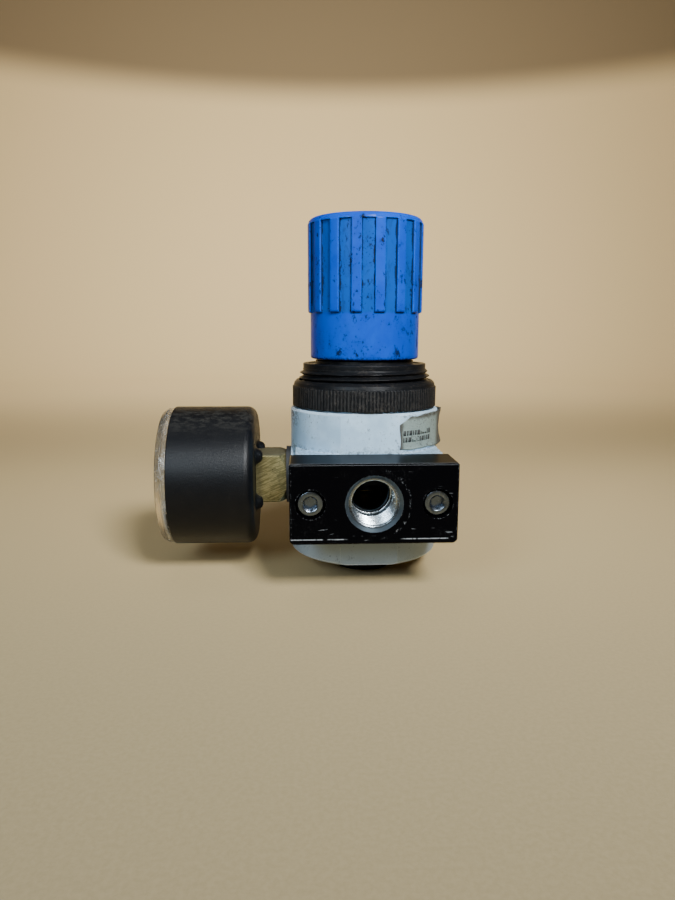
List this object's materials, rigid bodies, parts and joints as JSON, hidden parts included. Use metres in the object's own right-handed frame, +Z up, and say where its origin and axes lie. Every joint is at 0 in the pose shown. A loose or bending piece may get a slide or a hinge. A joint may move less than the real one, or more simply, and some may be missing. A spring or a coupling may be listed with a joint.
{
  "type": "air pressure regulator",
  "caption": "Small diaphragm air pressure regulator with threaded in-line ports, a ribbed adjusting knob on a panel collar and a round dial gauge on its side.",
  "frame": {"origin": "centre of the bottom plug's flat underside, on the knob axis", "axes": "+Z up the knob axis, +Y in the direction of flow towards the outlet port, -X towards the gauge"},
  "size_m": [0.0799, 0.066, 0.1005],
  "materials": {
    "body_casting": "fine sand-cast, satin grey",
    "black_anodised": "satin black anodised",
    "blackened_steel": "blackened and worn",
    "seal_rubber": "matt",
    "black_plastic": "moulded, satin",
    "knob_plastic": "moulded, satin",
    "label_paper": "dull, dirty",
    "spring_steel": "drawn wire",
    "brass": "machined, dull",
    "zinc_steel": "zinc plated",
    "lens_clear": "clear plastic, scratched",
    "dial_white": "matt print",
    "pointer_black": "matt",
    "bronze": "drawn tube"
  },
  "bodies": {
    "housing": {"regulator_body": "body_casting", "inlet_plate": "black_anodised", "outlet_plate": "black_anodised", "inlet_plate_seal": "seal_rubber", "outlet_plate_seal": "seal_rubber", "inlet_screw_1": "blackened_steel", "inlet_screw_2": "blackened_steel", "outlet_screw_1": "blackened_steel", "outlet_screw_2": "blackened_steel", "bottom_plug": "black_plastic", "bottom_plug_seal": "seal_rubber", "stem_seal": "seal_rubber", "gauge_port_plug": "zinc_steel", "label": "label_paper", "bonnet": "black_plastic", "ring_nut": "black_plastic", "diaphragm": "seal_rubber", "adjusting_spring": "spring_steel", "thrust_washer": "zinc_steel", "lock_ring": "zinc_steel", "valve_seat": "brass", "valve_spring": "spring_steel", "gauge_seal": "seal_rubber", "gauge_stem": "brass", "gauge_case": "black_plastic", "gauge_lens": "lens_clear", "gauge_dial": "dial_white", "bourdon_tube": "bronze", "movement_back_plate": "brass", "movement_front_plate": "brass", "movement_pillar_1": "brass", "movement_pillar_2": "brass"},
    "spindle": {"adjusting_spindle": "zinc_steel"},
    "knob": {"knob": "knob_plastic"},
    "carrier": {"spring_carrier": "brass"},
    "valve": {"valve_stem": "brass", "valve_seal": "seal_rubber"},
    "diaphragm_disc": {"diaphragm_upper_plate": "zinc_steel", "diaphragm_lower_plate": "brass"},
    "pointer": {"pinion_arbor": "zinc_steel", "hairspring": "spring_steel", "gauge_pointer": "pointer_black"},
    "sector": {"sector_gear": "brass"},
    "link": {"bourdon_link": "brass"}
  },
  "joints": [
    {"name": "knob_turn", "type": "hinge", "parent": "housing", "child": "spindle", "pos_m": [0, 0, 0.09], "axis": [0, 0, 1], "range_deg": [-1800, 0]},
    {"name": "knob_lift", "type": "slide", "parent": "spindle", "child": "knob", "axis": [0, 0, 1], "range_m": [0, 0.0025]},
    {"name": "carrier_slide", "type": "slide", "parent": "housing", "child": "carrier", "axis": [0, 0, 1], "range_m": [-0.00751, 0], "deforming": ["adjusting_spring"]},
    {"name": "valve_lift", "type": "slide", "parent": "housing", "child": "valve", "axis": [0, 0, 1], "range_m": [-0.0012, 0], "deforming": ["valve_spring", "diaphragm"]},
    {"name": "relief_lift", "type": "slide", "parent": "valve", "child": "diaphragm_disc", "axis": [0, 0, 1], "range_m": [0, 0.0005]},
    {"name": "pointer_turn", "type": "hinge", "parent": "housing", "child": "pointer", "pos_m": [-0.05, 0, 0.0275], "axis": [1, 0, 0], "range_deg": [0, 270]},
    {"name": "sector_turn", "type": "hinge", "parent": "housing", "child": "sector", "pos_m": [-0.0486, 0, 0.0155], "axis": [1, 0, 0], "range_deg": [-38.6, 0]},
    {"name": "link_swing", "type": "hinge", "parent": "sector", "child": "link", "pos_m": [-0.04955, -0.00176, 0.01169], "axis": [1, 0, 0], "range_deg": [0, 38.6]}
  ],
  "couplings": [
    {"joint": "carrier_slide", "follows": "knob_turn", "m_per_rad": 0.00023873},
    {"joint": "sector_turn", "follows": "pointer_turn", "ratio": -0.14286},
    {"joint": "link_swing", "follows": "pointer_turn", "ratio": 0.14286}
  ]
}
